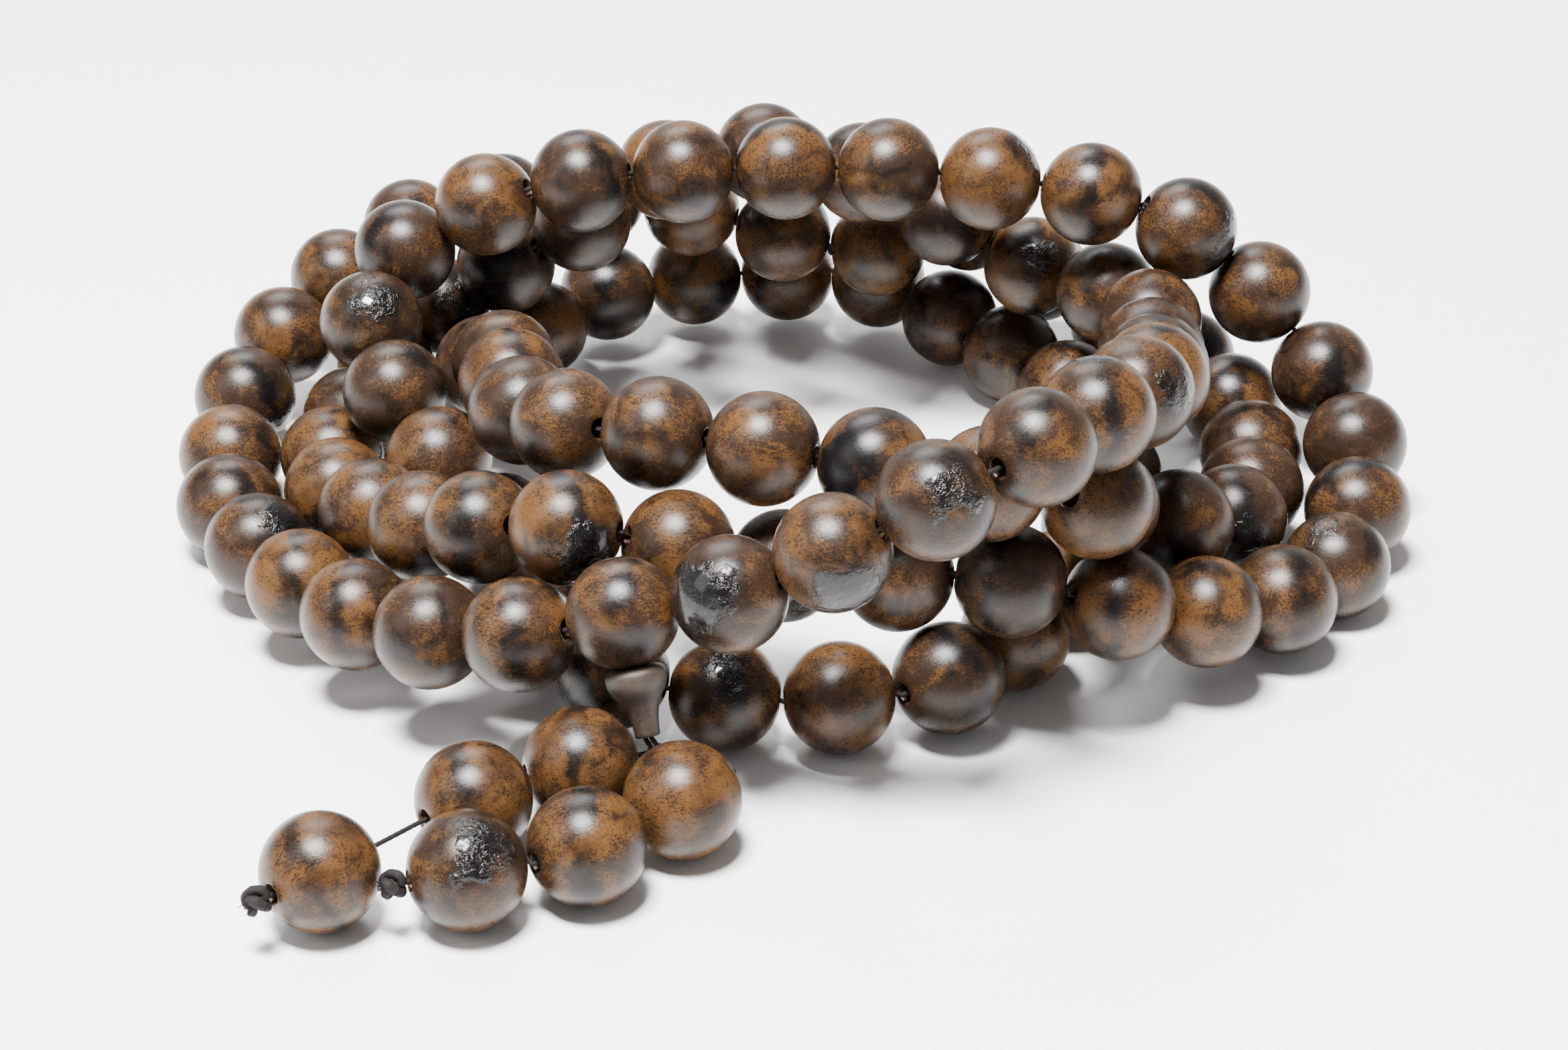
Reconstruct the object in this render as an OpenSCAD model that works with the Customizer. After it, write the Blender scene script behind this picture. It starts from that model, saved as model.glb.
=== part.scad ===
// Mala prayer beads: a closed strand of 108 wooden beads on one cord, piled up in coils, with a guru
// bead, a turned tower and two short tails that carry three counter beads each. Millimetres, +Z up,
// origin on the table under the middle of the pile.

/* [Beads] */
// Diameter of a bead across its middle; the whole strand grows and shrinks with it
bead_d = 11.9; // [9:0.1:15]
// Length of a bead along its hole, as a share of its diameter
bead_share = 0.965; // [0.86:0.005:0.97]
// Diameter of the hole through a bead
bore_d = 2; // [1.7:0.1:2.4]
// Width of the bevel at each mouth of the hole
bore_bevel = 0.4; // [0.1:0.05:0.45]

/* [Guru bead and tower] */
// Diameter of the guru bead
guru_d = 11.6; // [8.8:0.1:14.6]
// Diameter of the tower where it meets the guru bead
tower_top_d = 6.2; // [5:0.1:7.5]
// Diameter of the tower's narrow neck
tower_neck_d = 2.5; // [2.3:0.1:3]
// Diameter of the hole along the tower
tower_bore_d = 1.6; // [1.4:0.05:1.7]

/* [Cord and knots] */
// Diameter of the cord
cord_d = 0.56; // [0.4:0.02:0.62]
// Diameter of an end knot across the cord
knot_d = 3.2; // [2.4:0.1:3.3]
// Length of an end knot along the cord
knot_len = 2.8; // [2.4:0.1:3.2]

/* [Hidden] */
$fn = 64;

// Everything about the pile is laid out for beads of 11.9 and scaled from there.
k = bead_d / 11.9;
main_count = 108;
bead_len = bead_share * bead_d;
cord_sides = 8;

// Route of the strand, from the guru bead round the pile and back to it.
route = [
  [-16.5, -40, 20], [-30.5, -35.5, 14.5], [-47, -21.5, 9.5], [-60.5, 1, 6.5],
  [-64, 17, 6], [-61.5, 38.5, 9.5], [-45.5, 59, 16.5], [-19.5, 59, 20],
  [8, 53, 16], [22.5, 56, 18], [35.5, 55.5, 7.5], [50, 38, 6.5],
  [53, 15.5, 6.5], [46.5, -7.5, 11.5], [33.5, -16.5, 19], [30, -28.5, 26.5],
  [9.5, -28, 30], [-17, -18, 29], [-27.5, -7, 24.5], [-32, 17.5, 18.5],
  [-36, 38.5, 7.5], [-22, 58.5, 7.5], [-2.5, 64.5, 7], [11.5, 61.5, 7.5],
  [22, 51, 6], [35.5, 29, 6.5], [35.5, 6.5, 7.5], [27.5, -14, 6],
  [16.5, -30.5, 6.5], [-3.5, -33.5, 6], [-26.5, -27.5, 8.5], [-26, -10.5, 6.5],
  [-39, 5.5, 13], [-47.5, 23.5, 19], [-45, 36, 23.5], [-29, 34, 32.5],
  [-3.5, 34, 35], [21.5, 34, 34], [44.5, 32.5, 29], [60.5, 29, 14],
  [64.5, 12, 8], [58, -9.5, 6], [40.5, -25, 11], [25, -29, 17],
  [1, -25, 16.5], [-22.5, -29, 23.5], [-39.5, -13.5, 15], [-51.5, 9.5, 8],
  [-49.5, 35, 6], [-42, 49, 10.5], [-28, 42.5, 22], [-10.5, 46, 31],
  [8.5, 45.5, 29.5], [28, 44, 18.5], [40.5, 28.5, 20], [40, 9, 23.5],
  [38, -11, 31], [31.5, -29, 37], [18, -45, 38], [-2.5, -43.5, 25.5]
];

// Counter beads of the two tails, in order from the tower, and the points each tail passes first.
tower_tip = k * [-14, -45.5, 9];
spots_a = k * [[-20.75, -46, 5.95], [-31, -52.25, 5.95], [-44.75, -64.5, 5.95]];
spots_b = k * [[-10.5, -52.25, 5.95], [-19.5, -60.25, 5.95], [-30.75, -64.25, 5.95]];
entry_a = [-9.5, -3, 0];
entry_b = [-8, -6, 0];
lead_a = k * [[-13.7, -45.4, 7.6], [-14, -44.6, 6.5]];
lead_b = k * [[-13.2, -45.2, 7.8], [-10.5, -44.8, 7], [-7, -45.2, 6.3], [-4.6, -47, 6]];

// --- small helpers ---------------------------------------------------------------------------

function unit(v) = v / norm(v);

// Closed smooth curve through the route points: span i at t from 0 to 1.
function knot_at(i) = route[(i + len(route)) % len(route)];
function span(i, t) =
  let (a = knot_at(i - 1), b = knot_at(i), c = knot_at(i + 1), d = knot_at(i + 2))
  0.5 * (2 * b + (c - a) * t + (2 * a - 5 * b + 4 * c - d) * t * t
         + (3 * b - a - 3 * c + d) * t * t * t);

steps = 16;
curve = [for (i = [0:len(route) - 1]) for (j = [0:steps - 1]) span(i, j / steps)];
curve_n = len(curve);
pieces = [for (i = [0:curve_n - 1]) norm(curve[(i + 1) % curve_n] - curve[i])];
// Running length of the curve up to each of its points.
run = [for (i = 0, s = 0; i <= curve_n; s = s + pieces[i % curve_n], i = i + 1) s];

function index_at(s, lo, hi) =
  hi - lo <= 1 ? lo
  : let (mid = floor((lo + hi) / 2)) run[mid] <= s ? index_at(s, mid, hi) : index_at(s, lo, mid);
function along(s) =
  let (i = index_at(s, 0, curve_n), f = (s - run[i]) / pieces[i])
  curve[i] * (1 - f) + curve[(i + 1) % curve_n] * f;

// Running totals of a list, from 0 up to its last item but one.
function sums(v) = [for (i = 0, s = 0; i < len(v); s = s + v[i], i = i + 1) s];
// How much longer the curve is than the straight line, for each step between the places s.
function stretches(s) =
  let (p = [for (x = s) along(x)], n = len(s))
  [for (i = [0:n - 1])
    ((i == n - 1 ? run[curve_n] : s[i + 1]) - s[i]) / norm(p[(i + 1) % n] - p[i])];
// The places s moved, a few times over, until all the straight lines between them are as long.
function evened(s, times) =
  times == 0 ? s
  : let (v = stretches(s), total = v * [for (x = v) 1])
    evened(sums([for (x = v) run[curve_n] * x / total]), times - 1);

// Bead centres, as far from each other all along; number 0 is the guru bead. None sinks in the table.
spot_n = main_count + 1;
places = evened([for (i = [0:main_count]) i * run[curve_n] / spot_n], 4);
spots = [for (x = places) let (p = k * along(x)) [p.x, p.y, max(p.z, bead_d / 2)]];
function chord_of(i) = unit(spots[(i + 1) % spot_n] - spots[(i - 1 + spot_n) % spot_n]);
// A bead turns towards the mouths of its two neighbours.
lean = 0.23 * bead_d;
chords = [for (i = [0:main_count]) chord_of(i)];
function axis_of(i) =
  let (a = (i - 1 + spot_n) % spot_n, b = (i + 1) % spot_n)
  unit((spots[b] - lean * chords[b]) - (spots[a] + lean * chords[a]));

// Axis of a counter bead, pointing away from the tower; the first one follows its own entry.
function tail_axis(p, i) =
  i == 0 ? unit(p == spots_a ? entry_a : entry_b)
  : i == 1 ? unit(p[2] - p[0])
  : unit(p[2] - p[1]);

module place(p, dir) {
  translate(p) rotate([0, acos(dir.z), atan2(dir.y, dir.x)]) children();
}

// --- beads -----------------------------------------------------------------------------------

// A turned bead: a full round crown, a little shorter along the hole than across it.
module bead_body(d) {
  crown = bead_share * d / 2;
  rotate_extrude() intersection() {
    translate([d / 2 - crown, 0]) circle(r = crown);
    translate([0, -d]) square([d, 2 * d]);
  }
}

module bead() {
  crown = bead_len / 2;
  rotate_extrude() difference() {
    intersection() {
      translate([bead_d / 2 - crown, 0]) circle(r = crown);
      translate([bore_d / 2, -bead_d]) square([bead_d, 2 * bead_d]);
    }
    for (side = [-1, 1]) translate([bore_d / 2, side * (crown - 0.04)]) rotate(45)
      square(bore_bevel * sqrt(2), center = true);
  }
}

module loose_bead(i) {
  color("#8a5527") place(spots[i], axis_of(i)) bead();
}

// Three beads that follow each other on the cord, each its own solid.
module bead_run(first) {
  color("#7d4a22") for (i = [first:first + 2]) place(spots[i], axis_of(i)) bead();
}

module counter_bead(line, i) {
  color("#93602c") place(line[i], tail_axis(line, i)) bead();
}

// --- guru bead and tower ---------------------------------------------------------------------

guru = spots[0];
to_left = unit(spots[1] - guru);
to_right = unit(spots[main_count] - guru);
to_tip = unit(tower_tip - guru);
tower_len = norm(tower_tip - guru);

module guru_bead() {
  color("#7a4a24") difference() {
    place(guru, to_tip) bead_body(guru_d);
    for (dir = [to_left, to_right, to_tip]) place(guru, dir) cylinder(h = guru_d, d = bore_d);
    translate(guru) sphere(d = 1.2 * bore_d);
  }
}

// Radius of the tower at t, from 0 under the guru bead to 1 at its tip.
function tower_r(t) =
  let (w = pow(1 - t, 1.6) * (1 + 1.1 * t)) (tower_neck_d + (tower_top_d - tower_neck_d) * w) / 2;

module guru_tower() {
  seat = 0.42 * guru_d;
  long = tower_len - seat;
  rows = 14;
  side = [for (j = [0:rows]) [tower_r(j / rows), seat + 0.5 + (long - 0.5) * j / rows]];
  color("#4e3b30") place(guru, to_tip) difference() {
    rotate_extrude() polygon(concat(
      [[tower_bore_d / 2, seat], [tower_top_d / 2 - 0.4, seat]],
      side,
      [[tower_bore_d / 2, tower_len]]));
    bead_body(guru_d + 0.1);
  }
}

// --- cord ------------------------------------------------------------------------------------

function carry(u, dir) = unit(u - (u * dir) * dir);

// A round tube along a list of points, its rings carried from one to the next without twist.
module tube(path, d) {
  n = len(path);
  dirs = [for (i = [0:n - 1]) unit(path[min(i + 1, n - 1)] - path[max(i - 1, 0)])];
  ups = [for (i = 0, u = carry([0.1, 0.2, 1], dirs[0]); i < n; i = i + 1,
              u = carry(u, dirs[min(i, n - 1)])) u];
  rings = [for (i = [0:n - 1]) for (j = [0:cord_sides - 1])
    let (a = 360 * (j + 0.5) / cord_sides, w = cross(dirs[i], ups[i]))
    path[i] + d / 2 * (cos(a) * ups[i] + sin(a) * w)];
  skin = [for (i = [0:n - 2]) for (j = [0:cord_sides - 1])
    let (p = i * cord_sides + j, q = i * cord_sides + (j + 1) % cord_sides)
    each [[p, p + cord_sides, q], [q, p + cord_sides, q + cord_sides]]];
  first = [[for (j = [0:cord_sides - 1]) j]];
  last = [[for (j = [cord_sides - 1:-1:0]) (n - 1) * cord_sides + j]];
  polyhedron(points = rings, faces = concat(first, skin, last));
}

// The cord runs straight through each bead and bends between two beads.
reach = 0.5 * bead_len + 0.05;
function through(p, dir) = [p - reach * dir, p + reach * dir];
function join_lists(lists) = [for (l = lists) each l];

core = 1.3;
loop_path = concat(
  [guru + core * to_left, guru + 0.4 * guru_d * to_left],
  join_lists([for (i = [1:main_count]) through(spots[i], axis_of(i))]),
  [guru + 0.4 * guru_d * to_right, guru + core * to_right]);

// Inside the guru bead each end of the loop turns down the tower beside the other one.
side_by_side = 0.6 * cord_d;
function tail_path(from, lead, line) =
  let (off = side_by_side * carry(from, to_tip))
  concat(
    [guru + 0.85 * core * from, guru + 0.4 * core * from + 0.5 * to_tip, guru + 1.6 * to_tip + off,
     guru + 0.5 * tower_len * to_tip + off, tower_tip + off + 0.2 * to_tip],
    lead,
    join_lists([for (i = [0:2]) through(line[i], tail_axis(line, i))]),
    [line[2] + 0.51 * bead_len * tail_axis(line, 2)]);
path_a = tail_path(to_left, lead_a, spots_a);
path_b = tail_path(to_right, lead_b, spots_b);

module main_cord() {
  color("#2b211c") tube(loop_path, cord_d);
}

module string_tail(path) {
  color("#2b211c") tube(path, cord_d);
}

// A stopper knot, pulled up against the mouth of the last counter bead.
module end_knot(line) {
  dir = tail_axis(line, 2);
  fat = (knot_d - knot_len / 2) / 2;
  color("#241c18") place(line[2] + 0.51 * bead_len * dir, dir) translate([0, 0, knot_len / 2])
    rotate_extrude() intersection() {
      union() {
        translate([fat, 0]) circle(r = knot_len / 4);
        for (side = [-1, 1]) translate([fat * 0.6, side * knot_len / 4]) circle(r = knot_len / 4);
        translate([0, -knot_len / 2]) square([fat * 0.6, knot_len]);
      }
      translate([0, -knot_len / 2]) square([knot_d, knot_len]);
    }
}

// --- drawing ---------------------------------------------------------------------------------

guru_bead();
guru_tower();
loose_bead(1);  // bead_001
loose_bead(2);  // bead_002
loose_bead(3);  // bead_003
loose_bead(4);  // bead_004
loose_bead(5);  // bead_005
loose_bead(6);  // bead_006
loose_bead(103);  // bead_103
loose_bead(104);  // bead_104
loose_bead(105);  // bead_105
loose_bead(106);  // bead_106
loose_bead(107);  // bead_107
loose_bead(108);  // bead_108
bead_run(7);  // beads_007_to_009
bead_run(10);  // beads_010_to_012
bead_run(13);  // beads_013_to_015
bead_run(16);  // beads_016_to_018
bead_run(19);  // beads_019_to_021
bead_run(22);  // beads_022_to_024
bead_run(25);  // beads_025_to_027
bead_run(28);  // beads_028_to_030
bead_run(31);  // beads_031_to_033
bead_run(34);  // beads_034_to_036
bead_run(37);  // beads_037_to_039
bead_run(40);  // beads_040_to_042
bead_run(43);  // beads_043_to_045
bead_run(46);  // beads_046_to_048
bead_run(49);  // beads_049_to_051
bead_run(52);  // beads_052_to_054
bead_run(55);  // beads_055_to_057
bead_run(58);  // beads_058_to_060
bead_run(61);  // beads_061_to_063
bead_run(64);  // beads_064_to_066
bead_run(67);  // beads_067_to_069
bead_run(70);  // beads_070_to_072
bead_run(73);  // beads_073_to_075
bead_run(76);  // beads_076_to_078
bead_run(79);  // beads_079_to_081
bead_run(82);  // beads_082_to_084
bead_run(85);  // beads_085_to_087
bead_run(88);  // beads_088_to_090
bead_run(91);  // beads_091_to_093
bead_run(94);  // beads_094_to_096
bead_run(97);  // beads_097_to_099
bead_run(100);  // beads_100_to_102
counter_bead(spots_a, 0);  // counter_bead_a1
counter_bead(spots_a, 1);  // counter_bead_a2
counter_bead(spots_a, 2);  // counter_bead_a3
counter_bead(spots_b, 0);  // counter_bead_b1
counter_bead(spots_b, 1);  // counter_bead_b2
counter_bead(spots_b, 2);  // counter_bead_b3
main_cord();
string_tail(path_a);  // string_a
string_tail(path_b);  // string_b
end_knot(spots_a);  // knot_a
end_knot(spots_b);  // knot_b
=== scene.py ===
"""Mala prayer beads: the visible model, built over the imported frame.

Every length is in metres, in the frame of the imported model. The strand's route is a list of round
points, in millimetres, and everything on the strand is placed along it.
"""
import bisect
import math
import random

import bpy
from mathutils import Matrix, Vector, noise


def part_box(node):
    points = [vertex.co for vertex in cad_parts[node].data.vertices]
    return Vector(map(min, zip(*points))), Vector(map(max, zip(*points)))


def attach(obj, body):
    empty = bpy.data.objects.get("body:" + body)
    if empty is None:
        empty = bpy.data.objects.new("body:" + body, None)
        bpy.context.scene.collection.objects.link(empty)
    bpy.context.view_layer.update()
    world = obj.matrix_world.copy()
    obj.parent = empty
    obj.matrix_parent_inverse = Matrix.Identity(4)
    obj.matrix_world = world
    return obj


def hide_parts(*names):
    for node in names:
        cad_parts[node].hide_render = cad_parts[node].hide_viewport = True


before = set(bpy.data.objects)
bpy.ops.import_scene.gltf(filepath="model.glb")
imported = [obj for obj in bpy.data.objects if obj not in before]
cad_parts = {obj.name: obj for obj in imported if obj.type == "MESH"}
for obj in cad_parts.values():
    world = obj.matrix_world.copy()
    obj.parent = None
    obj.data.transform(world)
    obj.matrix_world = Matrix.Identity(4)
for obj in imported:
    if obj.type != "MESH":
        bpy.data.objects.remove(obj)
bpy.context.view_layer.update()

bl_info = {
    "name": "Mala prayer beads",
    "version": (1, 0, 0),
    "blender": (4, 5, 0),
    "location": "View3D > Sidebar > Mala",
    "description": "Builds a mala of wooden beads with its guru bead, tower, tails and stage",
    "category": "Add Mesh",
}

MM = 0.001

# --- Layout of the strand, in millimetres ------------------------------------------------------

ROUTE = [
    (-16.5, -40, 20), (-30.5, -35.5, 14.5), (-47, -21.5, 9.5), (-60.5, 1, 6.5),
    (-64, 17, 6), (-61.5, 38.5, 9.5), (-45.5, 59, 16.5), (-19.5, 59, 20),
    (8, 53, 16), (22.5, 56, 18), (35.5, 55.5, 7.5), (50, 38, 6.5),
    (53, 15.5, 6.5), (46.5, -7.5, 11.5), (33.5, -16.5, 19), (30, -28.5, 26.5),
    (9.5, -28, 30), (-17, -18, 29), (-27.5, -7, 24.5), (-32, 17.5, 18.5),
    (-36, 38.5, 7.5), (-22, 58.5, 7.5), (-2.5, 64.5, 7), (11.5, 61.5, 7.5),
    (22, 51, 6), (35.5, 29, 6.5), (35.5, 6.5, 7.5), (27.5, -14, 6),
    (16.5, -30.5, 6.5), (-3.5, -33.5, 6), (-26.5, -27.5, 8.5), (-26, -10.5, 6.5),
    (-39, 5.5, 13), (-47.5, 23.5, 19), (-45, 36, 23.5), (-29, 34, 32.5),
    (-3.5, 34, 35), (21.5, 34, 34), (44.5, 32.5, 29), (60.5, 29, 14),
    (64.5, 12, 8), (58, -9.5, 6), (40.5, -25, 11), (25, -29, 17),
    (1, -25, 16.5), (-22.5, -29, 23.5), (-39.5, -13.5, 15), (-51.5, 9.5, 8),
    (-49.5, 35, 6), (-42, 49, 10.5), (-28, 42.5, 22), (-10.5, 46, 31),
    (8.5, 45.5, 29.5), (28, 44, 18.5), (40.5, 28.5, 20), (40, 9, 23.5),
    (38, -11, 31), (31.5, -29, 37), (18, -45, 38), (-2.5, -43.5, 25.5)
]
SPOTS_A = [(-20.75, -46, 5.95), (-31, -52.25, 5.95), (-44.75, -64.5, 5.95)]
SPOTS_B = [(-10.5, -52.25, 5.95), (-19.5, -60.25, 5.95), (-30.75, -64.25, 5.95)]
ENTRY_A = (-9.5, -3, 0)
ENTRY_B = (-8, -6, 0)
LEAD_A = [(-13.7, -45.4, 7.6), (-14, -44.6, 6.5)]
LEAD_B = [(-13.2, -45.2, 7.8), (-10.8, -44.9, 7), (-7.4, -45.2, 6.3), (-5.5, -47.2, 6)]
TOWER_TIP = (-14, -45.5, 9)
TOWER_WAIST = 0.42
MAIN_COUNT = 108
CURVE_STEPS = 16
EVENINGS = 4
# How far a bead turns towards its neighbours' mouths, as a share of its diameter.
LEAN_SHARE = 0.23
# Where the loop's cord ends inside the guru bead, and where it comes out of it.
GURU_CORE = 1.3
GURU_MOUTH = 4.64
# The tails lie side by side in the tower, this share of the cord's diameter off its middle.
SIDE_SHARE = 0.6
# Hair of clearance between a bead's end and the bend of the cord.
BEND_CLEARANCE = 0.05
KNOT_CLEARANCE = 0.1

VIEW_TILT = 29.6
CAMERA_LENS = 84.58
CAMERA_SENSOR = 36.0
CAMERA_PLACE = (-0.0005, -0.3535, 0.20815)

LATHE_SIDES = 56
CROWN_STEPS = 26
BRAID_LAY = 0.0016
CORD_SIDES = 12
CORD_STEP = 0.0002
LOOP_STEP = 0.00016
INSIDE_BEAD = 0.009
HAND_WORK = 0.006

LOOSE = list(range(1, 7)) + list(range(103, 109))
RUNS = list(range(7, 101, 3))


def span(i, t):
    """Point on the closed smooth curve between route points i and i + 1."""
    n = len(ROUTE)
    a, b, c, d = (Vector(ROUTE[(i + j) % n]) for j in (-1, 0, 1, 2))
    return 0.5 * (
        2 * b + (c - a) * t + (2 * a - 5 * b + 4 * c - d) * t * t + (3 * b - a - 3 * c + d) * t * t * t
    )


def along(curve, run, s):
    """Point of a polyline at running length s."""
    i = min(bisect.bisect_right(run, s) - 1, len(run) - 2)
    return curve[i].lerp(curve[i + 1], (s - run[i]) / (run[i + 1] - run[i]))


def spots_along(bead_mm):
    """Centres of the guru bead and the main beads, as far from each other all along the curve."""
    curve = [span(i, j / CURVE_STEPS) for i in range(len(ROUTE)) for j in range(CURVE_STEPS)]
    curve.append(curve[0])
    run = [0.0]
    for a, b in zip(curve, curve[1:]):
        run.append(run[-1] + (b - a).length)
    count = MAIN_COUNT + 1
    places = [i * run[-1] / count for i in range(count)]
    for _ in range(EVENINGS):
        found = [along(curve, run, s) for s in places]
        ends = places[1:] + [run[-1]]
        stretch = [(b - a) / (found[(i + 1) % count] - found[i]).length
                   for i, (a, b) in enumerate(zip(places, ends))]
        unit = run[-1] / sum(stretch)
        places = [unit * sum(stretch[:i]) for i in range(count)]
    spots = [along(curve, run, s) for s in places]
    return [Vector((p.x, p.y, max(p.z, bead_mm / 2))) for p in spots]


class Layout:
    """Where each bead lies, and the way its hole points, in millimetres."""

    def __init__(self, bead_mm):
        n = MAIN_COUNT + 1
        self.spots = spots_along(bead_mm)
        chords = [(self.spots[(i + 1) % n] - self.spots[i - 1]).normalized() for i in range(n)]
        lean = LEAN_SHARE * bead_mm
        self.axes = []
        for i in range(n):
            ahead = self.spots[(i + 1) % n] - lean * chords[(i + 1) % n]
            behind = self.spots[i - 1] + lean * chords[i - 1]
            self.axes.append((ahead - behind).normalized())
        self.guru = self.spots[0]
        self.tip = Vector(TOWER_TIP)
        self.to_tip = (self.tip - self.guru).normalized()
        self.to_left = (self.spots[1] - self.guru).normalized()
        self.to_right = (self.spots[MAIN_COUNT] - self.guru).normalized()
        self.tails = {}
        for name, spots, entry in (("a", SPOTS_A, ENTRY_A), ("b", SPOTS_B, ENTRY_B)):
            p = [Vector(s) for s in spots]
            axes = [Vector(entry).normalized(), (p[2] - p[0]).normalized(), (p[2] - p[1]).normalized()]
            self.tails[name] = list(zip(p, axes))

    def main_path(self, half):
        """Points of the loop's cord: into the guru bead, through every bead, and back."""
        points = [self.guru + GURU_CORE * self.to_left, self.guru + GURU_MOUTH * self.to_left]
        for i in range(1, MAIN_COUNT + 1):
            points += [self.spots[i] - half * self.axes[i], self.spots[i] + half * self.axes[i]]
        return points + [self.guru + GURU_MOUTH * self.to_right, self.guru + GURU_CORE * self.to_right]

    def tail_path(self, name, half, cord_mm):
        """Points of one tail: out of the guru bead, down the tower, through three beads."""
        start = self.to_left if name == "a" else self.to_right
        side = start - start.dot(self.to_tip) * self.to_tip
        off = SIDE_SHARE * cord_mm * side.normalized()
        length = (self.tip - self.guru).length
        points = [
            self.guru + 1.105 * start,
            self.guru + 0.52 * start + 0.5 * self.to_tip,
            self.guru + 1.6 * self.to_tip + off,
            self.guru + 0.5 * length * self.to_tip + off,
            self.tip + off + 0.2 * self.to_tip,
        ]
        points += [Vector(p) for p in (LEAD_A if name == "a" else LEAD_B)]
        for spot, axis in self.tails[name]:
            points += [spot - half * axis, spot + half * axis]
        spot, axis = self.tails[name][2]
        return points + [spot + (half + KNOT_CLEARANCE) * axis]


# --- Settings ----------------------------------------------------------------------------------


class MalaSizes(bpy.types.PropertyGroup):
    """Sizes of the pieces"""

    bead: bpy.props.FloatProperty(
        name="Bead diameter", description="Across the middle of a bead", default=0.0119, unit="LENGTH"
    )
    bead_share: bpy.props.FloatProperty(
        name="Bead length share", description="Length along the hole over diameter", default=0.985
    )
    bore: bpy.props.FloatProperty(
        name="Hole diameter", description="Hole through a bead", default=0.002, unit="LENGTH"
    )
    bevel: bpy.props.FloatProperty(
        name="Hole bevel", description="Bevel at a hole's mouth", default=0.0003, unit="LENGTH"
    )
    guru: bpy.props.FloatProperty(
        name="Guru bead diameter", description="Across the guru bead", default=0.0116, unit="LENGTH"
    )
    tower_top: bpy.props.FloatProperty(
        name="Tower top", description="Tower's width under the guru bead", default=0.0062, unit="LENGTH"
    )
    tower_neck: bpy.props.FloatProperty(
        name="Tower neck", description="Width of the tower's neck", default=0.0025, unit="LENGTH"
    )
    tower_bore: bpy.props.FloatProperty(
        name="Tower hole", description="Hole along the tower", default=0.0016, unit="LENGTH"
    )
    cord: bpy.props.FloatProperty(
        name="Cord diameter", description="Across the braided cord", default=0.00056, unit="LENGTH"
    )


class MalaColours(bpy.types.PropertyGroup):
    """Colours of the wood, the cord and the stage, as linear light"""

    brown: bpy.props.FloatVectorProperty(
        name="Brown wood", description="Plain wood", default=(0.0215, 0.0114, 0.0067), subtype="COLOR"
    )
    golden: bpy.props.FloatVectorProperty(
        name="Golden wood", description="Lit, resin-free wood", default=(0.083, 0.0365, 0.0108),
        subtype="COLOR",
    )
    red: bpy.props.FloatVectorProperty(
        name="Red-brown wood", description="Wood beside the resin", default=(0.0125, 0.0058, 0.0038),
        subtype="COLOR",
    )
    resin: bpy.props.FloatVectorProperty(
        name="Resin", description="Dark resin bands", default=(0.0026, 0.0022, 0.0026), subtype="COLOR"
    )
    tower: bpy.props.FloatVectorProperty(
        name="Tower wood", description="The tower's plain wood", default=(0.031, 0.0198, 0.0138),
        subtype="COLOR",
    )
    cord: bpy.props.FloatVectorProperty(
        name="Cord", description="Dark braided cord", default=(0.0048, 0.0034, 0.0029), subtype="COLOR"
    )
    floor: bpy.props.FloatVectorProperty(
        name="Floor", description="Studio floor", default=(0.94, 0.94, 0.94), subtype="COLOR"
    )


# --- Shader formulas ---------------------------------------------------------------------------


def feed(tree, socket, value):
    """Link a value into a socket, or set it there as a constant."""
    if isinstance(value, Val):
        tree.links.new(value.socket, socket)
    elif isinstance(value, (int, float)) and socket.type in {"VECTOR", "RGBA"}:
        size = len(socket.default_value)
        socket.default_value = (value,) * 3 + (1.0,) * (size - 3)
    elif socket.type == "RGBA":
        socket.default_value = (*value[:3], 1.0)
    else:
        socket.default_value = value


class Val:
    """An output socket that can stand in a formula."""

    def __init__(self, tree, socket):
        self.tree = tree
        self.socket = socket

    def math(self, operation, *others, flip=False):
        args = [self, *others]
        if flip:
            args.reverse()
        vector = any(isinstance(a, Val) and a.socket.type in {"VECTOR", "RGBA"} for a in args)
        node = self.tree.nodes.new("ShaderNodeVectorMath" if vector else "ShaderNodeMath")
        node.operation = operation
        for socket, value in zip(node.inputs, args):
            feed(self.tree, socket, value)
        out = node.outputs["Value" if operation == "DOT_PRODUCT" else 0]
        return Val(self.tree, out)

    def __add__(self, other):
        return self.math("ADD", other)

    __radd__ = __add__

    def __mul__(self, other):
        return self.math("MULTIPLY", other)

    __rmul__ = __mul__

    def __sub__(self, other):
        return self.math("SUBTRACT", other)

    def __rsub__(self, other):
        return self.math("SUBTRACT", other, flip=True)

    def __truediv__(self, other):
        return self.math("DIVIDE", other)

    def __abs__(self):
        return self.math("ABSOLUTE")

    def dot(self, other):
        return self.math("DOT_PRODUCT", other)


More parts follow.
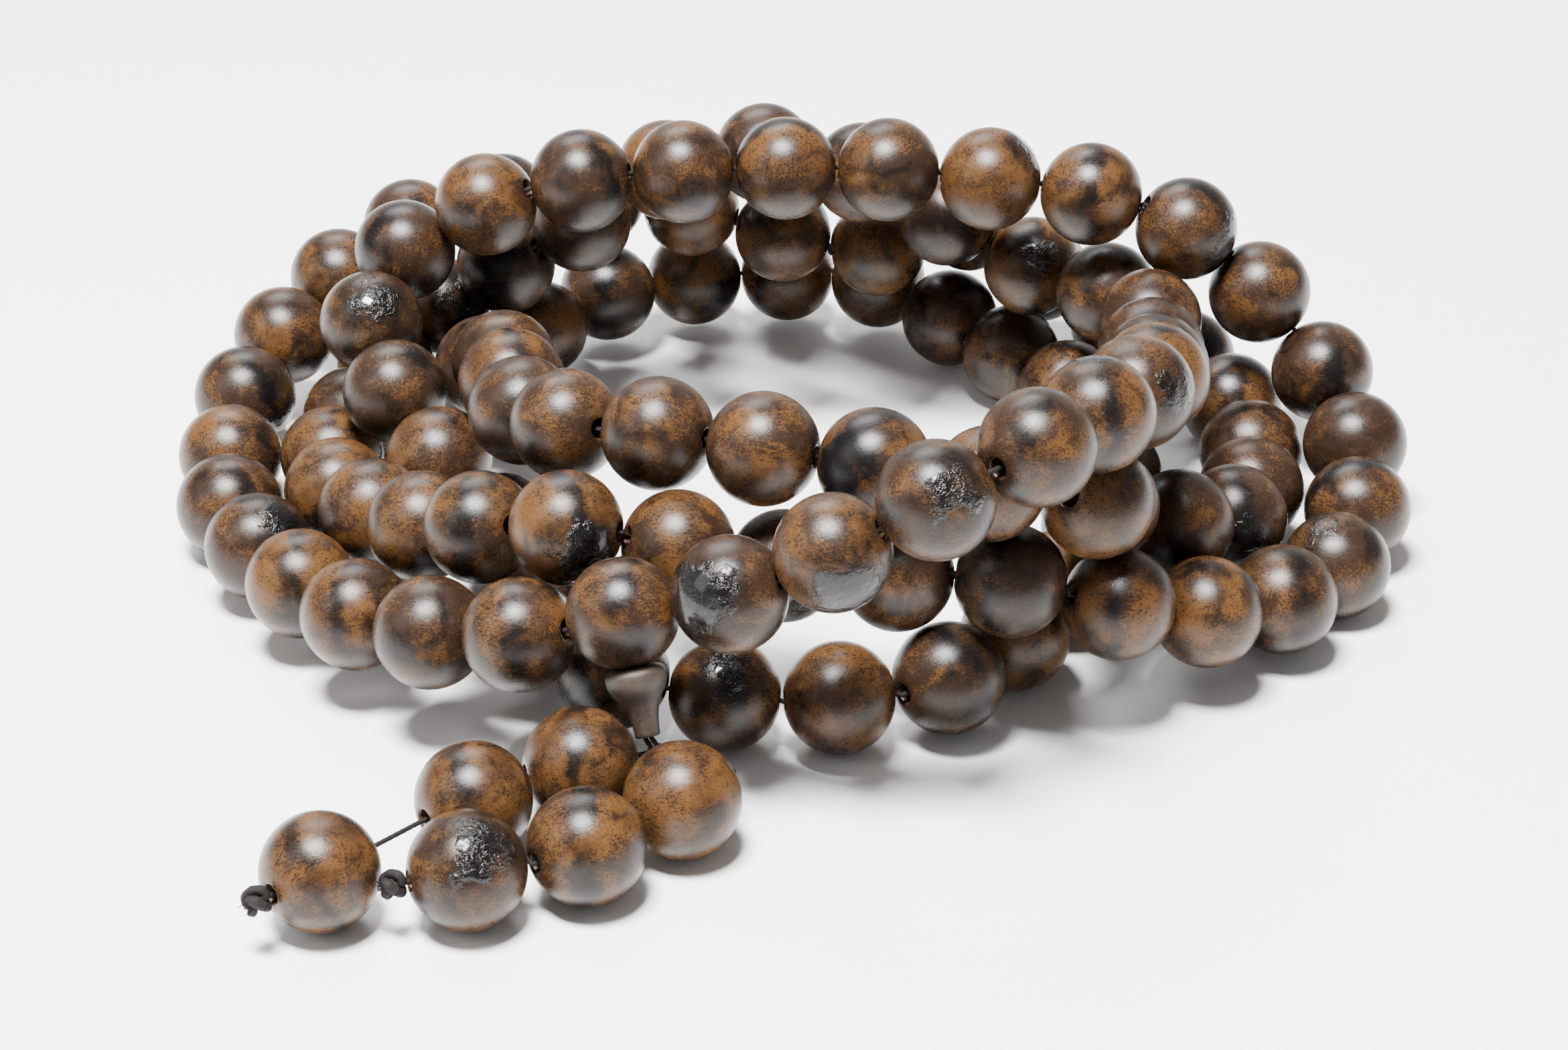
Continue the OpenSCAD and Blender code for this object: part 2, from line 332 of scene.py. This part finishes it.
class Recipe:
    """One procedural material and the nodes that feed it."""

    def __init__(self, name):
        self.material = bpy.data.materials.new(name)
        self.material.use_nodes = True
        self.tree = self.material.node_tree
        self.shader = self.tree.nodes["Principled BSDF"]

    def node(self, kind, settings=None, output=0, **inputs):
        node = self.tree.nodes.new(kind)
        for key, value in (settings or {}).items():
            setattr(node, key, value)
        for key, value in inputs.items():
            feed(self.tree, node.inputs[key.replace("_", " ")], value)
        return Val(self.tree, node.outputs[output])

    def attribute(self, name, output="Fac"):
        settings = {"attribute_name": name, "attribute_type": "GEOMETRY"}
        return self.node("ShaderNodeAttribute", settings, output)

    def noise(self, where, scale, detail=3.0, roughness=0.5, distortion=0.0):
        return self.node(
            "ShaderNodeTexNoise", Vector=where, Scale=scale, Detail=detail, Roughness=roughness,
            Distortion=distortion,
        )

    def ramp(self, value, low, high, start=0.0, end=1.0):
        """Smooth step from start to end while value goes from low to high."""
        node = self.tree.nodes.new("ShaderNodeMapRange")
        node.interpolation_type = "SMOOTHSTEP"
        for key, item in zip(("Value", "From Min", "From Max", "To Min", "To Max"),
                             (value, low, high, start, end)):
            feed(self.tree, node.inputs[key], item)
        return Val(self.tree, node.outputs[0])

    def mix(self, factor, a, b):
        node = self.tree.nodes.new("ShaderNodeMix")
        node.data_type = "RGBA"
        for index, item in ((0, factor), (6, a), (7, b)):
            feed(self.tree, node.inputs[index], item)
        return Val(self.tree, node.outputs[2])

    def bump(self, height, strength, distance, normal=None):
        node = self.tree.nodes.new("ShaderNodeBump")
        feed(self.tree, node.inputs["Strength"], strength)
        feed(self.tree, node.inputs["Distance"], distance)
        feed(self.tree, node.inputs["Height"], height)
        if normal is not None:
            feed(self.tree, node.inputs["Normal"], normal)
        return Val(self.tree, node.outputs[0])

    def finish(self, **inputs):
        for key, value in inputs.items():
            feed(self.tree, self.shader.inputs[key.replace("_", " ")], value)
        return self.material


def wood_material(colours):
    """Turned and polished wood: golden and brown figure, fine speckle, dark resin bands and patches."""
    r = Recipe("mala_wood")
    grain = r.attribute("grain", "Vector")
    pole = r.attribute("pole", "Vector")
    gold = r.attribute("gold")
    band = r.attribute("band")
    patch = r.attribute("patch")
    gloss = r.attribute("gloss")

    # Golden areas with ragged, speckled edges on brown wood.
    speck = r.noise(grain, 21.0, 5.0, 0.78)
    pepper = r.noise(grain, 52.0, 3.0, 0.7)
    fibre = r.noise(grain * (7.0, 30.0, 30.0), 1.0, 4.0, 0.7)
    fine = speck * 0.45 + pepper * 0.25 + fibre * 0.30
    blotch = r.noise(grain, 1.5, 7.0, 0.66, 0.5)
    tone = r.ramp(blotch + (fine - 0.5) * 1.5 + (gold - 0.55) * 0.22, 0.43, 0.62)
    body = r.mix(tone, colours.brown, colours.golden)
    warm = r.ramp(r.noise(grain + 3.1, 1.3, 5.0, 0.6) + (fine - 0.5) * 0.5, 0.47, 0.66)
    body = r.mix(warm * 0.55, body, colours.red)
    body = r.mix(r.ramp(fine, 0.40, 0.52, 0.55, 0.0), body, colours.red)
    pores = r.ramp(pepper * 0.6 + speck * 0.4, 0.34, 0.44, 0.8, 0.0)
    body = r.mix(pores * 0.7, body, colours.resin)

    # Dark streaks square to the pole, cloudy stains, and a resin patch around the pole.
    ragged = r.noise(grain + 11.0, 1.6, 5.0, 0.62) - 0.5
    wisp = (fine - 0.5) * 0.9
    across = abs(pole.dot((1.0, 0.0, 0.0)) + ragged * 0.9) + wisp * 0.35
    streak = r.ramp(across - band, 0.0, 0.22, 1.0, 0.0) * r.ramp(band, 0.0, 0.05)
    streak = streak * r.ramp(r.noise(grain + 5.0, 1.1, 3.0), 0.36, 0.54, 0.25, 1.0)
    cap = r.ramp(pole.dot((0.0, 0.0, 1.0)) + ragged * 0.9 - patch, 0.0, 0.12)
    halo = r.ramp(pole.dot((0.0, 0.0, 1.0)) + ragged * 1.1 + wisp * 0.3 - patch, -0.30, 0.08)
    smoke = r.ramp(r.noise(grain + 19.0, 1.25, 5.0, 0.6, 0.6) + wisp * 0.25, 0.50, 0.68)
    dark = 1.0 - (1.0 - streak * 0.9) * (1.0 - cap * 0.97) * (1.0 - smoke * 0.78) * (1.0 - halo * 0.6)
    colour = r.mix(dark, body, colours.resin)

    # Resin is smoother than wood; where it blistered, it stands up in soft folds.
    folds = r.noise(grain, 3.6, 4.0, 0.55, 1.4)
    shine = cap * gloss
    rough = 0.30 + (fine - 0.5) * 0.7 - dark * 0.04 - shine * 0.24
    bump = r.bump(fine + folds * 0.12, 0.30, 0.00012)
    bump = r.bump(folds * shine, 0.6, 0.00070, bump)
    return r.finish(Base_Color=colour, Roughness=rough, Normal=bump, Specular_IOR_Level=0.27,
                    Coat_Weight=shine * 0.5, Coat_Roughness=0.1)


def tower_material(colours):
    """Plain dark turned wood with faint fibres."""
    r = Recipe("tower_wood")
    grain = r.attribute("grain", "Vector")
    fibre = r.noise(grain * (40.0, 40.0, 9.0), 1.0, 5.0, 0.7)
    cloud = r.noise(grain, 2.2, 4.0, 0.6)
    light = r.mix(r.ramp(cloud, 0.35, 0.7), colours.tower, [c * 1.7 for c in colours.tower])
    colour = r.mix(r.ramp(fibre, 0.35, 0.55, 0.6, 0.0), light, [c * 0.35 for c in colours.tower])
    rough = 0.50 + (fibre - 0.5) * 0.3
    return r.finish(Base_Color=colour, Roughness=rough, Normal=r.bump(fibre, 0.3, 0.0001))


def cord_material(colours):
    """Dark waxed braid: plain yarns with a few pale fibres."""
    r = Recipe("braided_cord")
    grain = r.attribute("grain", "Vector")
    fleck = r.ramp(r.noise(grain, 9.0, 3.0, 0.7), 0.60, 0.72)
    yarn = r.noise(grain * (30.0, 30.0, 8.0), 1.0, 3.0, 0.6)
    plain = r.mix(r.ramp(yarn, 0.3, 0.7), [c * 0.5 for c in colours.cord], [c * 2.2 for c in colours.cord])
    colour = r.mix(fleck * 0.5, plain, (0.09, 0.065, 0.045))
    return r.finish(Base_Color=colour, Roughness=0.68 + (yarn - 0.5) * 0.2, Specular_IOR_Level=0.25,
                    Normal=r.bump(yarn, 0.5, 0.00008))


def floor_material(colours):
    """Seamless matt studio floor."""
    r = Recipe("studio_floor")
    where = r.node("ShaderNodeNewGeometry", output="Position")
    cloud = r.noise(where, 3.0, 2.0)
    colour = r.mix(r.ramp(cloud, 0.3, 0.7), colours.floor, [c * 0.99 for c in colours.floor])
    return r.finish(Base_Color=colour, Roughness=0.42 + (cloud - 0.5) * 0.05, Specular_IOR_Level=0.35)


# --- Mesh helpers ------------------------------------------------------------------------------


def frame_along(axis):
    """Rotation whose z is the axis."""
    return axis.to_track_quat("Z", "Y").to_matrix()


def add_object(name, verts, faces, material, body, attributes=None):
    """Make a smooth mesh object in metres, with its per-vertex attributes, riding on a body."""
    mesh = bpy.data.meshes.new(name)
    mesh.from_pydata([tuple(v) for v in verts], [], faces)
    mesh.shade_smooth()
    for key, values in (attributes or {}).items():
        if hasattr(values[0], "__len__"):
            layer = mesh.attributes.new(key, "FLOAT_VECTOR", "POINT")
            layer.data.foreach_set("vector", [c for v in values for c in v])
        else:
            layer = mesh.attributes.new(key, "FLOAT", "POINT")
            layer.data.foreach_set("value", values)
    mesh.materials.append(material)
    mesh.validate()
    piece = bpy.data.objects.new(name, mesh)
    bpy.context.scene.collection.objects.link(piece)
    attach(piece, body)
    return piece


def lathe(profile, sides):
    """Turn a closed profile of (radius, height) round z; returns verts and faces."""
    n = len(profile)
    verts = []
    faces = []
    for j in range(sides):
        a = 2 * math.pi * j / sides
        verts += [Vector((r * math.cos(a), r * math.sin(a), z)) for r, z in profile]
        k = (j + 1) % sides
        for i in range(n):
            m = (i + 1) % n
            faces.append((j * n + i, k * n + i, k * n + m, j * n + m))
    return verts, faces


def bead_profile(half, radius, bore, bevel):
    """Closed outline of a bead: crown, bevelled mouths and the wall of the hole."""
    shift = radius - half
    mouth = bore + bevel
    top = math.acos((mouth - shift) / half)
    outline = []
    for i in range(CROWN_STEPS + 1):
        a = top * (2 * i / CROWN_STEPS - 1)
        outline.append((shift + half * math.cos(a), half * math.sin(a)))
    end = half * math.sin(top)
    outline.append((bore + 0.35 * bevel, end - 0.2 * bevel))
    outline.append((bore, end - bevel))
    outline += [(bore, end * f) for f in (0.5, 0.0, -0.5)]
    outline.append((bore, -end + bevel))
    outline.append((bore + 0.35 * bevel, -end + 0.2 * bevel))
    return outline


# A stopper knot: one strand wound twice round and three times through itself.
KNOT_MIDDLE = 0.00064
KNOT_SWING = 0.00040
KNOT_RISE = 0.00078
KNOT_STRAND = 0.00054


class Look:
    """How one bead's wood looks: tone, band, patch and where they face."""

    def __init__(self, number):
        rng = random.Random(7919 * number + 13)
        self.size = rng.uniform(0.992, 1.0)
        self.gold = rng.choice([0.25, 0.45, 0.6, 0.75, 0.9]) + rng.uniform(-0.08, 0.08)
        self.band = rng.choice([0.0, 0.0, 0.02, 0.05, 0.08, 0.12])
        self.patch = rng.choice([2.0, 2.0, 2.0, 0.92, 0.86, 0.78])
        self.gloss = rng.choice([0.0, 0.5, 1.0])
        self.offset = Vector([rng.uniform(-40, 40) for _ in range(3)])
        facing = Vector([rng.gauss(0, 1) for _ in range(3)]).normalized()
        self.turn = frame_along(facing)
        marks = MARKS.get(number)
        if marks:
            self.gold, self.band, self.patch, self.gloss, cross, facing = marks
            z = toward(*facing)
            x = toward(*cross)
            x = (x - x.dot(z) * z).normalized()
            self.turn = Matrix((x, z.cross(x), z)).transposed()


def toward(right, up, near):
    """Direction given as seen from the front: to the right, up, and towards the viewer."""
    tilt = math.radians(VIEW_TILT)
    return Vector(
        (right, up * math.sin(tilt) - near * math.cos(tilt), up * math.cos(tilt) + near * math.sin(tilt))
    ).normalized()


# Beads whose figure stands out: gold, band half-width, patch edge, gloss, the way the band is
# crossed, and the way the patch faces. Numbers over 200 are counter beads, 0 is the guru bead.
MARKS = {
    0: (0.40, 0.10, 2.0, 0.0, (0.82, 0.0, 0.57), (0.0, 0.0, 1.0)),
    1: (0.60, 0.04, 2.0, 0.0, (0.90, 0.1, 0.40), (0.0, 0.0, 1.0)),
    60: (0.30, 0.0, 0.86, 1.0, (1.0, 0.0, 0.0), (0.15, 0.5, 0.85)),
    106: (0.35, 0.0, 0.84, 1.0, (1.0, 0.0, 0.0), (0.35, 0.15, 0.90)),
    108: (0.35, 0.0, 0.78, 1.0, (1.0, 0.0, 0.0), (-0.5, 0.02, 0.86)),
    201: (0.80, 0.08, 2.0, 0.0, (0.87, 0.0, -0.50), (0.0, 0.0, 1.0)),
    202: (0.85, 0.05, 2.0, 0.0, (0.90, 0.3, -0.30), (0.0, 0.0, 1.0)),
    203: (0.80, 0.04, 2.0, 0.0, (0.80, 0.4, -0.45), (0.0, 0.0, 1.0)),
    211: (0.90, 0.0, 2.0, 0.0, (1.0, 0.0, 0.0), (0.0, 0.0, 1.0)),
    212: (0.60, 0.08, 2.0, 0.0, (0.94, 0.0, -0.34), (0.0, 0.0, 1.0)),
    213: (0.45, 0.0, 0.80, 1.0, (1.0, 0.0, 0.0), (0.30, 0.42, 0.85)),
}


def bead_mesh(number, spot, axis, sizes, diameter):
    """Vertices, faces and attributes of one bead, a little out of true as hand work is."""
    look = Look(number)
    radius = diameter / 2 * look.size
    half = sizes.bead_share * diameter / 2 * look.size
    profile = bead_profile(half, radius, sizes.bore / 2, sizes.bevel)
    local, faces = lathe(profile, LATHE_SIDES)
    rot = frame_along(axis)
    centre = spot * MM
    verts = []
    grain = []
    pole = []
    for v in local:
        unit = v / radius
        if v.length > 0.45 * radius:
            wobble = noise.noise(unit * 1.3 + look.offset) * 0.5 + 0.5
            v = v * (1.0 - HAND_WORK * wobble)
        where = look.turn.transposed() @ (rot @ unit)
        grain.append(where + look.offset)
        pole.append(where)
        verts.append(centre + rot @ v)
    count = len(verts)
    data = {
        "grain": grain,
        "pole": pole,
        "gold": [look.gold] * count,
        "band": [look.band] * count,
        "patch": [look.patch] * count,
        "gloss": [look.gloss] * count,
    }
    return verts, faces, data


def merge(parts):
    """Join several (verts, faces, attributes) into one."""
    verts = []
    faces = []
    data = {}
    for part_verts, part_faces, part_data in parts:
        shift = len(verts)
        verts += part_verts
        faces += [tuple(i + shift for i in face) for face in part_faces]
        for key, values in part_data.items():
            data.setdefault(key, []).extend(values)
    return verts, faces, data


def densify(points, step):
    """The same polyline with more points on it, at most step apart, and its corners kept."""
    dense = [points[0]]
    for a, b in zip(points, points[1:]):
        count = max(1, math.ceil((b - a).length / step))
        dense += [a.lerp(b, (i + 1) / count) for i in range(count)]
    return dense


def braid_tube(points, radius, sides, lay):
    """A tube with the raised yarns of a round braid; points are in metres."""
    dirs = []
    for i in range(len(points)):
        a = points[max(i - 1, 0)]
        b = points[min(i + 1, len(points) - 1)]
        dirs.append((b - a).normalized())
    up = Vector((0.1, 0.2, 1.0))
    verts = []
    grain = []
    run = 0.0
    for i, (p, d) in enumerate(zip(points, dirs)):
        up = (up - up.dot(d) * d).normalized()
        side = d.cross(up)
        if i:
            run += (p - points[i - 1]).length
        for j in range(sides):
            a = 2 * math.pi * j / sides
            wave = math.cos(2 * a + 2 * math.pi * run / lay) * math.cos(2 * a - 2 * math.pi * run / lay)
            r = radius * (0.91 + 0.09 * wave)
            verts.append(p + r * (math.cos(a) * up + math.sin(a) * side))
            grain.append((math.cos(a), math.sin(a), run / radius))
    faces = []
    for i in range(len(points) - 1):
        for j in range(sides):
            k = (j + 1) % sides
            faces.append((i * sides + j, (i + 1) * sides + j, (i + 1) * sides + k, i * sides + k))
    faces.append(tuple(reversed(range(sides))))
    faces.append(tuple((len(points) - 1) * sides + j for j in range(sides)))
    faces = [tuple(reversed(face)) for face in faces]
    return verts, faces, {"grain": grain}


# --- Building the pieces -----------------------------------------------------------------------


class Kit:
    """What the operators share: layout, materials and the pieces made so far."""

    layout = None
    wood = None
    tower = None
    cord = None
    tails = {}

    @classmethod
    def ready(cls, scene):
        if cls.layout is None:
            colours = scene.mala_colours
            cls.layout = Layout(scene.mala_sizes.bead / MM)
            cls.wood = wood_material(colours)
            cls.tower = tower_material(colours)
            cls.cord = cord_material(colours)
        return cls


def half_of(sizes):
    """Half of a bead's length along its hole, in millimetres, with a hair of clearance."""
    return 0.5 * sizes.bead_share * sizes.bead / MM + BEND_CLEARANCE


class MALA_OT_camera(bpy.types.Operator):
    """Camera in front of the pile, looking down at it"""

    bl_idname = "mala.camera"
    bl_label = "Camera"

    def execute(self, context):
        data = bpy.data.cameras.new("camera")
        data.sensor_width = CAMERA_SENSOR
        data.lens = CAMERA_LENS
        camera = bpy.data.objects.new("camera", data)
        camera.location = CAMERA_PLACE
        camera.rotation_euler = (math.radians(90 - VIEW_TILT), 0, 0)
        context.scene.collection.objects.link(camera)
        context.scene.camera = camera
        return {"FINISHED"}


class MALA_OT_cords(bpy.types.Operator):
    """The loop's cord and the two tails"""

    bl_idname = "mala.cords"
    bl_label = "Cords"

    def execute(self, context):
        kit = Kit.ready(context.scene)
        sizes = context.scene.mala_sizes
        half = half_of(sizes)
        radius = sizes.cord / 2
        points = [p * MM for p in kit.layout.main_path(half)]
        # Beads hide the cord inside them, so only the stretches between beads have fine steps.
        dense = [points[0]]
        for a, b in zip(points, points[1:]):
            inside = (b - a).length > INSIDE_BEAD
            count = 3 if inside else max(2, math.ceil((b - a).length / LOOP_STEP))
            dense += [a.lerp(b, (j + 1) / count) for j in range(count)]
        verts, faces, data = braid_tube(dense, radius, CORD_SIDES, BRAID_LAY)
        loop = add_object("loop_cord", verts, faces, kit.cord, "strand", data)
        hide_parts("main_cord")
        for name in ("a", "b"):
            path = [p * MM for p in kit.layout.tail_path(name, half, sizes.cord / MM)]
            dense = densify(path, CORD_STEP)
            verts, faces, data = braid_tube(dense, radius, CORD_SIDES, BRAID_LAY)
            tail = add_object(f"tail_{name}", verts, faces, kit.cord, "strand", data)
            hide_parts(f"string_{name}")
            length = sum((b - a).length for a, b in zip(path, path[1:]))
            kit.tails[name] = (tail, path, length)
        return {"FINISHED"}


class MALA_OT_knots(bpy.types.Operator):
    """Stopper knots at the ends of the tails, each tied of the cord itself"""

    bl_idname = "mala.knots"
    bl_label = "Knots"

    def execute(self, context):
        kit = Kit.ready(context.scene)
        for name in ("a", "b"):
            spot, axis = kit.layout.tails[name][2]
            low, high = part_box(f"knot_{name}")
            centre = (Vector(low) + Vector(high)) / 2
            rot = frame_along(axis)
            turns = []
            for i in range(97):
                t = 2 * math.pi * i / 96
                out = KNOT_MIDDLE + KNOT_SWING * math.cos(3 * t)
                turns.append(centre + rot @ Vector((
                    out * math.cos(2 * t), out * math.sin(2 * t), KNOT_RISE * math.sin(3 * t))))
            parts = [braid_tube(densify(turns, 0.00012), KNOT_STRAND, 14, BRAID_LAY)]
            rng = random.Random(31 if name == "a" else 47)
            for _ in range(14):
                a = rng.uniform(0, 2 * math.pi)
                start = centre + rot @ Vector((0.0005 * math.cos(a), 0.0005 * math.sin(a), 0.0009))
                way = rot @ Vector((rng.uniform(-0.7, 0.7), rng.uniform(-0.7, 0.7), 1.0))
                end = start + way.normalized() * rng.uniform(0.0004, 0.0008)
                parts.append(braid_tube([start, start.lerp(end, 0.5), end], 0.00006, 6, 0.0014))
            verts, faces, data = merge(parts)
            knot = add_object(f"tied_knot_{name}", verts, faces, kit.cord, "strand", data)
            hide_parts(f"knot_{name}")
        return {"FINISHED"}


class MALA_OT_main_beads(bpy.types.Operator):
    """The beads of the loop, in threes and, beside the guru bead, one by one"""

    bl_idname = "mala.main_beads"
    bl_label = "Main beads"

    def execute(self, context):
        kit = Kit.ready(context.scene)
        sizes = context.scene.mala_sizes
        layout = kit.layout

        def one(number):
            return bead_mesh(number, layout.spots[number], layout.axes[number], sizes, sizes.bead)

        for number in LOOSE:
            name = f"bead_{number:03d}"
            verts, faces, data = one(number)
            piece = add_object(f"wood_{name}", verts, faces, kit.wood, f"loose_{name}", data)
            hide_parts(name)
        for first in RUNS:
            name = f"beads_{first:03d}_to_{first + 2:03d}"
            verts, faces, data = merge([one(first + i) for i in range(3)])
            piece = add_object(f"wood_{name}", verts, faces, kit.wood, "strand", data)
            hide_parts(name)
        return {"FINISHED"}


class MALA_OT_counter_beads(bpy.types.Operator):
    """Three counter beads on each tail"""

    bl_idname = "mala.counter_beads"
    bl_label = "Counter beads"

    def execute(self, context):
        kit = Kit.ready(context.scene)
        sizes = context.scene.mala_sizes
        for row, name in enumerate(("a", "b")):
            for i, (spot, axis) in enumerate(kit.layout.tails[name]):
                node = f"counter_bead_{name}{i + 1}"
                verts, faces, data = bead_mesh(201 + 10 * row + i, spot, axis, sizes, sizes.bead)
                piece = add_object(f"wood_{node}", verts, faces, kit.wood,
                                   f"{node}_body", data)
                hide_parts(node)
        return {"FINISHED"}


class MALA_OT_guru_bead(bpy.types.Operator):
    """The guru bead, with its hole along the tower's line"""

    bl_idname = "mala.guru_bead"
    bl_label = "Guru bead"

    def execute(self, context):
        kit = Kit.ready(context.scene)
        sizes = context.scene.mala_sizes
        layout = kit.layout
        verts, faces, data = bead_mesh(0, layout.guru, layout.to_tip, sizes, sizes.guru)
        piece = add_object("wood_guru_bead", verts, faces, kit.wood, "strand", data)
        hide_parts("guru_bead")
        return {"FINISHED"}


class MALA_OT_tower(bpy.types.Operator):
    """The turned tower under the guru bead"""

    bl_idname = "mala.tower"
    bl_label = "Tower"

    def execute(self, context):
        kit = Kit.ready(context.scene)
        sizes = context.scene.mala_sizes
        layout = kit.layout
        length = (layout.tip - layout.guru).length * MM
        top, neck, bore = sizes.tower_top / 2, sizes.tower_neck / 2, sizes.tower_bore / 2
        crown = sizes.bead_share * sizes.guru / 2
        shift = sizes.guru / 2 - crown

        def seat(r):
            """Height of the guru bead's skin at radius r."""
            return math.sqrt(crown ** 2 - (r - shift) ** 2) + 0.00006

        lip = 0.0011
        flat = top - lip
        outline = [(r, seat(r)) for r in (bore, 0.4 * flat + 0.6 * bore, flat)]
        start = seat(flat)
        outline += [
            (flat + lip * math.sin(a), start + 0.8 * lip * (1 - math.cos(a)))
            for a in (math.pi / 12 * i for i in range(1, 7))
        ]
        start = outline[-1][1]
        end = 1 / (1 + TOWER_WAIST ** -3)
        for i in range(1, 22):
            t = i / 21
            w = (1 / (1 + (t / TOWER_WAIST) ** 3) - end) / (1 - end)
            outline.append((neck + (top - neck) * w, start + (length - 0.0001 - start) * t))
        outline += [(neck - 0.0001, length), (bore + 0.0001, length), (bore, length - 0.0001)]
        outline += [(bore, length - 0.003)]
        local, faces = lathe(outline, LATHE_SIDES)
        rot = frame_along(layout.to_tip)
        verts = [layout.guru * MM + rot @ v for v in local]
        grain = [v / sizes.tower_top * 2 for v in local]
        piece = add_object("turned_tower", verts, faces, kit.tower, "strand", {"grain": grain})
        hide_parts("guru_tower")
        return {"FINISHED"}


class MALA_OT_stage(bpy.types.Operator):
    """Pale seamless floor and soft studio light"""

    bl_idname = "mala.stage"
    bl_label = "Stage"

    def execute(self, context):
        scene = context.scene
        material = floor_material(scene.mala_colours)
        mesh = bpy.data.meshes.new("studio_floor")
        line = [(-2.0, 0.0), (0.9, 0.0)]
        for i in range(1, 17):
            a = math.pi / 2 * i / 16
            line.append((0.9 + 0.6 * math.sin(a), 0.6 - 0.6 * math.cos(a)))
        line.append((1.5, 2.4))
        verts = [(x, y, z - 0.00002) for y, z in line for x in (-2.5, 2.5)]
        faces = [(2 * i, 2 * i + 1, 2 * i + 3, 2 * i + 2) for i in range(len(line) - 1)]
        mesh.from_pydata(verts, [], faces)
        mesh.shade_smooth()
        mesh.materials.append(material)
        floor = bpy.data.objects.new("studio_floor", mesh)
        scene.collection.objects.link(floor)

        def area(name, energy, place, target, width, height):
            data = bpy.data.lights.new(name, "AREA")
            data.shape = "RECTANGLE"
            data.size, data.size_y = width, height
            data.energy = energy
            lamp = bpy.data.objects.new(name, data)
            lamp.location = place
            way = Vector(target) - Vector(place)
            lamp.rotation_euler = way.to_track_quat("-Z", "Y").to_euler()
            scene.collection.objects.link(lamp)

        area("key", 35.0, (-0.10, -0.17, 0.74), (0, 0, 0), 0.24, 0.18)
        area("back", 10.0, (-0.20, 0.75, 0.85), (0, 0.1, 0), 0.6, 0.4)
        area("side", 2.5, (-0.80, -0.30, 0.60), (0, 0, 0), 0.5, 0.5)
        world = bpy.data.worlds.new("studio")
        world.use_nodes = True
        world.node_tree.nodes["Background"].inputs["Color"].default_value = (1, 1, 1, 1)
        world.node_tree.nodes["Background"].inputs["Strength"].default_value = 0.34
        scene.world = world
        return {"FINISHED"}


class MALA_PT_panel(bpy.types.Panel):
    """Sidebar panel of the mala"""

    bl_idname = "MALA_PT_panel"
    bl_label = "Mala"
    bl_space_type = "VIEW_3D"
    bl_region_type = "UI"
    bl_category = "Mala"

    def draw(self, context):
        for group in (context.scene.mala_sizes, context.scene.mala_colours):
            for name in group.bl_rna.properties.keys():
                if name not in {"rna_type", "name"}:
                    self.layout.prop(group, name)
        for name in STEPS:
            self.layout.operator(f"mala.{name}")


STEPS = (
    "camera",
    "cords",
    "knots",
    "main_beads",
    "counter_beads",
    "guru_bead",
    "tower",
    "stage",
)

CLASSES = (
    MalaSizes,
    MalaColours,
    MALA_OT_camera,
    MALA_OT_cords,
    MALA_OT_knots,
    MALA_OT_main_beads,
    MALA_OT_counter_beads,
    MALA_OT_guru_bead,
    MALA_OT_tower,
    MALA_OT_stage,
    MALA_PT_panel,
)


def register():
    for cls in CLASSES:
        bpy.utils.register_class(cls)
    bpy.types.Scene.mala_sizes = bpy.props.PointerProperty(type=MalaSizes)
    bpy.types.Scene.mala_colours = bpy.props.PointerProperty(type=MalaColours)


def unregister():
    del bpy.types.Scene.mala_colours
    del bpy.types.Scene.mala_sizes
    for cls in reversed(CLASSES):
        bpy.utils.unregister_class(cls)


def main():
    register()
    for name in STEPS:
        getattr(bpy.ops.mala, name)()


if __name__ == "__main__":
    main()
